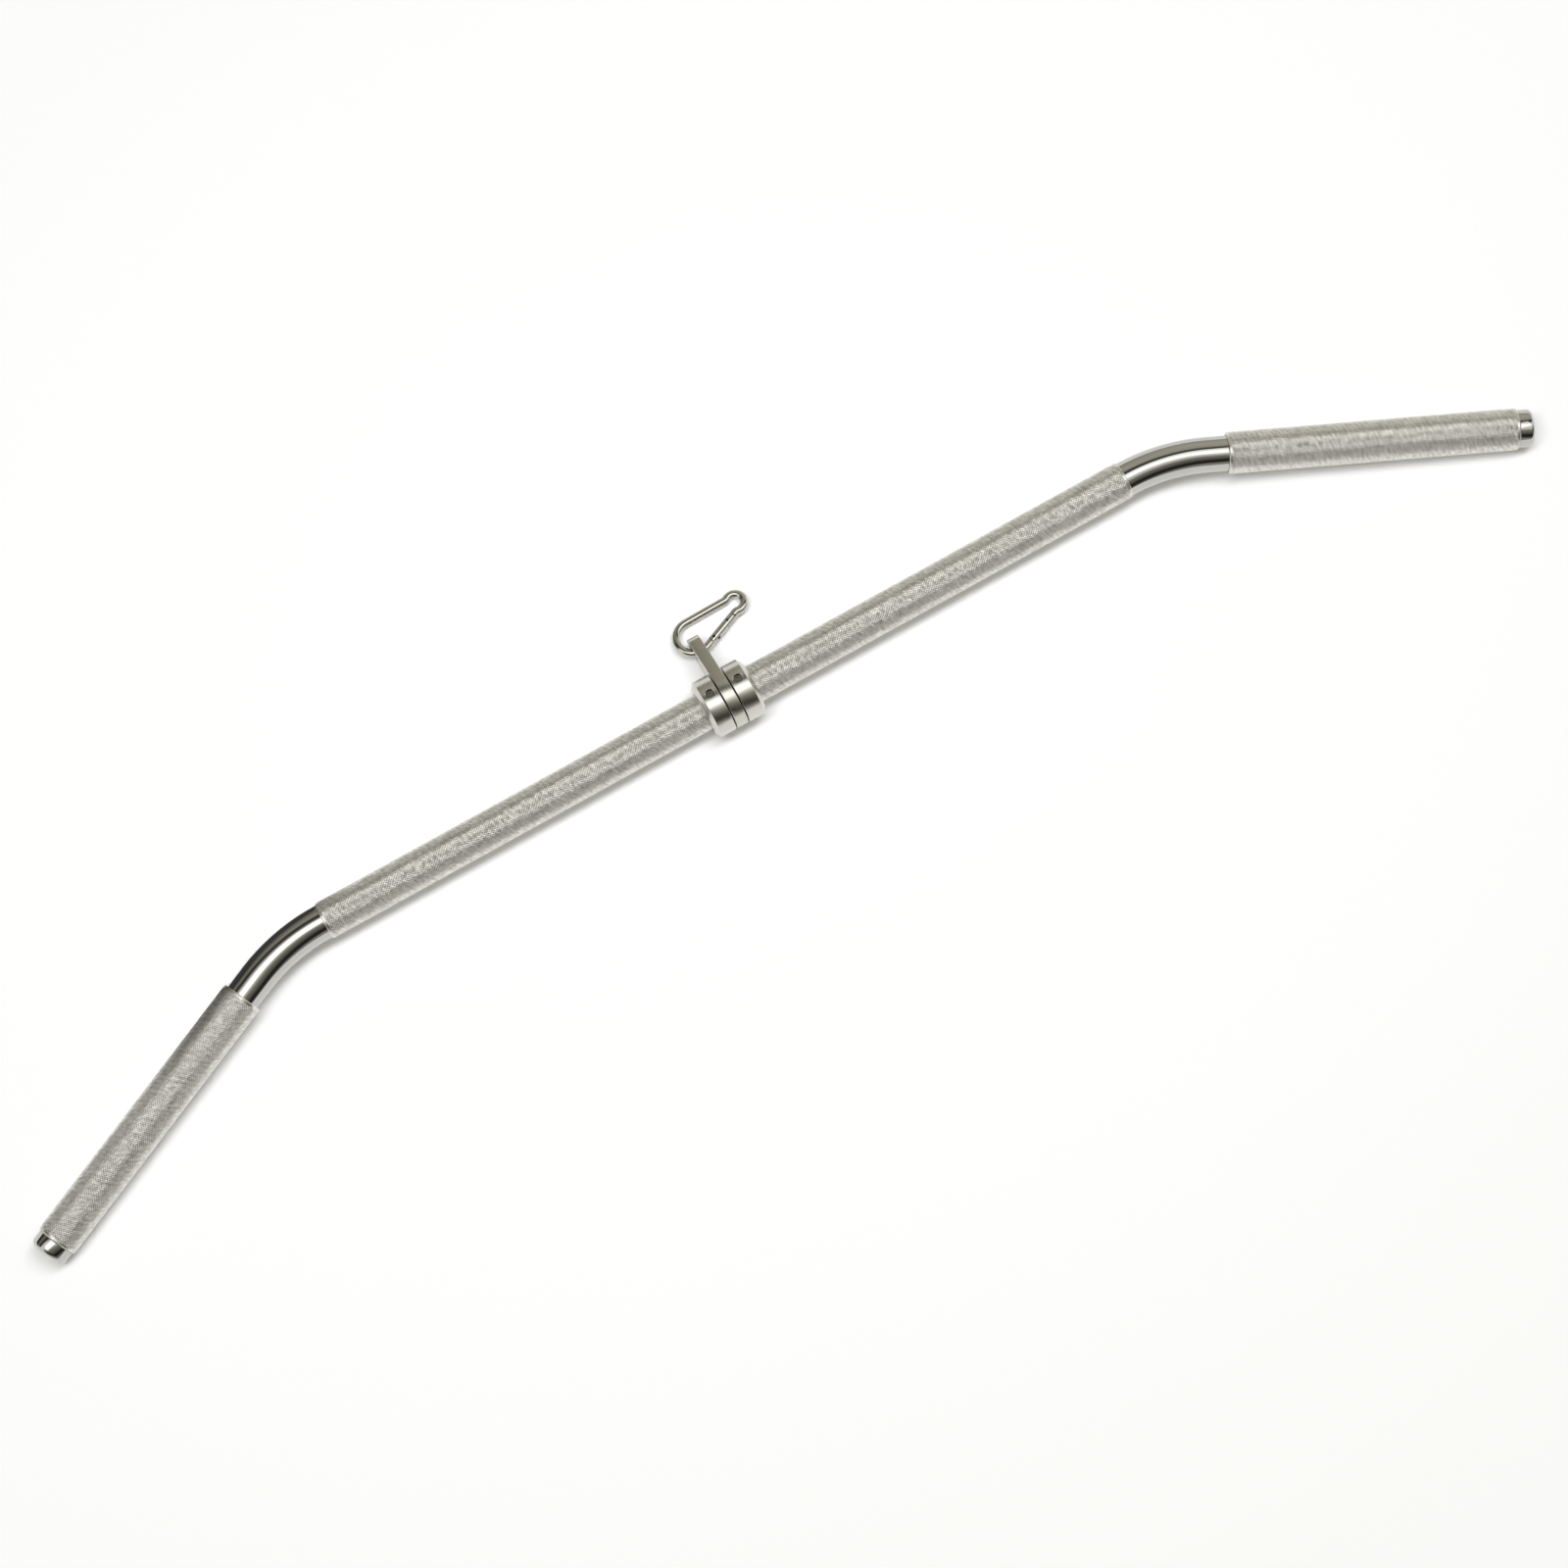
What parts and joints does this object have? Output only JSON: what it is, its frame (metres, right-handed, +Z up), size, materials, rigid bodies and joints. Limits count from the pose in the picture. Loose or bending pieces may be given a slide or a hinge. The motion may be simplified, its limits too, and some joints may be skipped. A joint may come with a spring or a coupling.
{
  "type": "lat pulldown bar",
  "caption": "Bent cable-machine bar with knurled sleeves, angled grips, a swivelling hanger between two stop collars and a gated snap hook.",
  "frame": {"origin": "on the surface that the bar lies on, under the middle of the whole part's bounding box", "axes": "+X along the straight middle of the bar, -Y towards the ends of the grips, +Y towards the hanger's tab and the snap hook, +Z up from the surface"},
  "size_m": [1.2248, 0.1964, 0.0444],
  "materials": {
    "polished_tube": "polished chrome plate",
    "knurled_sleeve": "fine diamond knurl under satin chrome plate",
    "turned_collar": "turned, satin chrome plate",
    "hanger_plate": "cut plate with smooth edges, satin chrome plate",
    "plated_wire": "bright zinc or chrome plated wire",
    "dark_screw": "plain steel",
    "bearing_bronze": "sintered bronze, semi-matte",
    "nylon_washer": "matte dark nylon"
  },
  "bodies": {
    "bar": {"bar_tube": "polished_tube", "left_centre_sleeve": "knurled_sleeve", "right_centre_sleeve": "knurled_sleeve", "left_grip_sleeve": "knurled_sleeve", "right_grip_sleeve": "knurled_sleeve", "left_end_plug": "polished_tube", "right_end_plug": "polished_tube", "left_collar": "turned_collar", "right_collar": "turned_collar", "left_set_screw": "dark_screw", "right_set_screw": "dark_screw", "left_thrust_washer": "nylon_washer", "right_thrust_washer": "nylon_washer"},
    "swivel": {"hanger": "hanger_plate", "hanger_bush": "bearing_bronze"},
    "hook": {"carabiner_body": "plated_wire", "gate_hinge_pin": "dark_screw"},
    "gate": {"carabiner_gate": "plated_wire", "gate_latch_pin": "dark_screw", "gate_plunger": "bearing_bronze", "gate_spring": "dark_screw"}
  },
  "joints": [
    {"name": "hanger_swivel", "type": "hinge", "parent": "bar", "child": "swivel", "pos_m": [0, 0.02445, 0.02222], "axis": [1, 0, 0], "continuous": true},
    {"name": "carabiner_swing", "type": "hinge", "parent": "swivel", "child": "hook", "pos_m": [0, 0.06885, 0.00962], "axis": [1, 0, 0], "range_deg": [-125, 115]},
    {"name": "gate_open", "type": "hinge", "parent": "hook", "child": "gate", "pos_m": [0.01454, 0.07178, 0.00826], "axis": [0, 0.2029, 0.9792], "range_deg": [0, 28], "stiffness_Nm_per_rad": 0.12, "springref_deg": -14.32}
  ]
}
